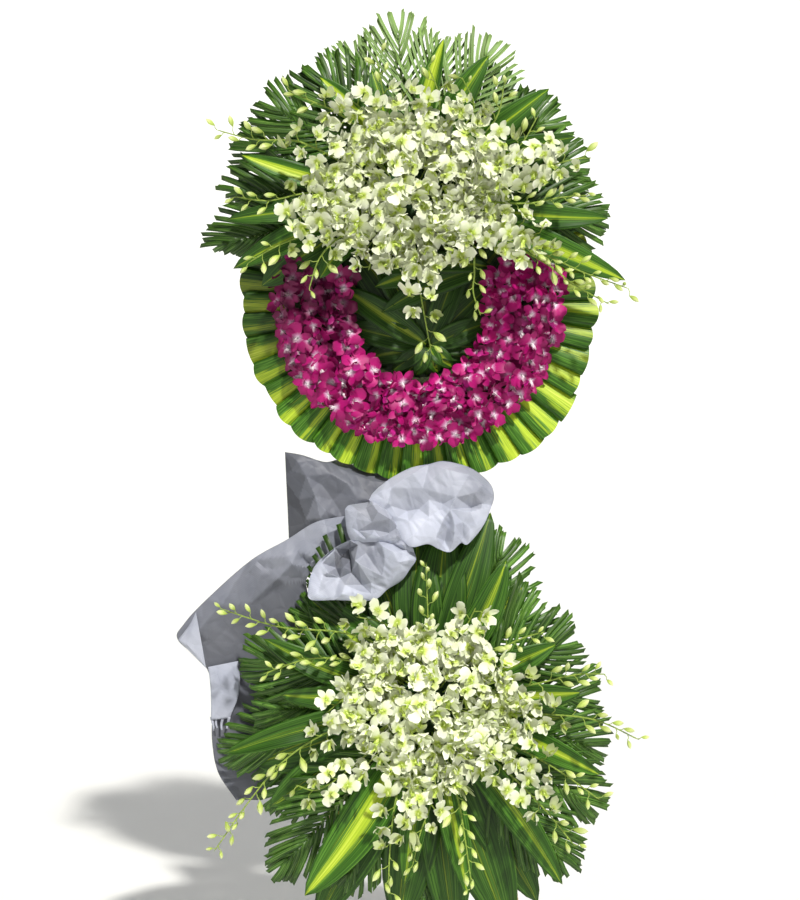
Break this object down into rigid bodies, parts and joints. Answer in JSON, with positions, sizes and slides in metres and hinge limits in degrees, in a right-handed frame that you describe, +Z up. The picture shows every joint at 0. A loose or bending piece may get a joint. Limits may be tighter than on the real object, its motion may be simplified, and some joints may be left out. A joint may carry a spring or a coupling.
{
  "type": "standing funeral wreath",
  "caption": "Standing funeral wreath on a leaning tripod: leaf-rimmed round board with a horseshoe of magenta orchids, bunches of white orchid and palm above and below, and a white cloth bow.",
  "frame": {"origin": "on the floor, at the centre of the wreath's box seen from above", "axes": "+Z up; the flowers face -Y and the rear leg stands towards +Y; +X is to the right of someone who looks at the flowers"},
  "size_m": [0.7842, 0.7206, 1.7291],
  "materials": {
    "pole": "dry bamboo",
    "board": "plain matte board",
    "foam": "wet floral foam",
    "palm": "satin leaf",
    "striped_leaf": "glossy leaf with a yellow-green stripe",
    "white_orchid": "soft petal",
    "magenta_orchid": "soft petal with a pale centre",
    "organza": "crumpled sheer cloth"
  },
  "bodies": {
    "root": {"leg_left": "pole", "leg_right": "pole", "leg_rear": "pole", "bar_top": "pole", "bar_upper": "pole", "bar_middle": "pole", "board_round": "board", "board_low": "board", "foam_top": "foam", "foam_low": "foam", "rim_1": "striped_leaf", "rim_2": "striped_leaf", "rim_3": "striped_leaf", "centre_fan": "striped_leaf", "centre_leaves": "striped_leaf", "blossoms_1": "magenta_orchid", "blossoms_2": "magenta_orchid", "blossoms_3": "magenta_orchid", "frond_top_1": "palm", "frond_top_2": "palm", "frond_top_3": "palm", "frond_top_4": "palm", "frond_top_5": "palm", "frond_top_6": "palm", "frond_top_7": "palm", "frond_low_1": "palm", "frond_low_2": "palm", "frond_low_3": "palm", "frond_low_4": "palm", "frond_low_5": "palm", "frond_low_6": "palm", "frond_low_7": "palm", "frond_low_8": "palm", "frond_low_9": "palm", "leaves_top_left": "striped_leaf", "leaves_top_up": "striped_leaf", "leaves_top_right": "striped_leaf", "leaves_low_left": "striped_leaf", "leaves_low_down": "striped_leaf", "leaves_low_right": "striped_leaf", "spray_top_1": "white_orchid", "spray_top_2": "white_orchid", "spray_top_3": "white_orchid", "spray_top_4": "white_orchid", "spray_top_5": "white_orchid", "spray_top_6": "white_orchid", "spray_low_1": "white_orchid", "spray_low_2": "white_orchid", "spray_low_3": "white_orchid", "spray_low_4": "white_orchid", "spray_low_5": "white_orchid", "spray_low_6": "white_orchid", "spray_low_7": "white_orchid", "head_top": "white_orchid", "head_low": "white_orchid", "bow_knot": "organza", "bow_loop_right": "organza", "bow_loop_left": "organza", "bow_tail_up": "organza", "bow_tail_long": "organza"}
  },
  "joints": []
}
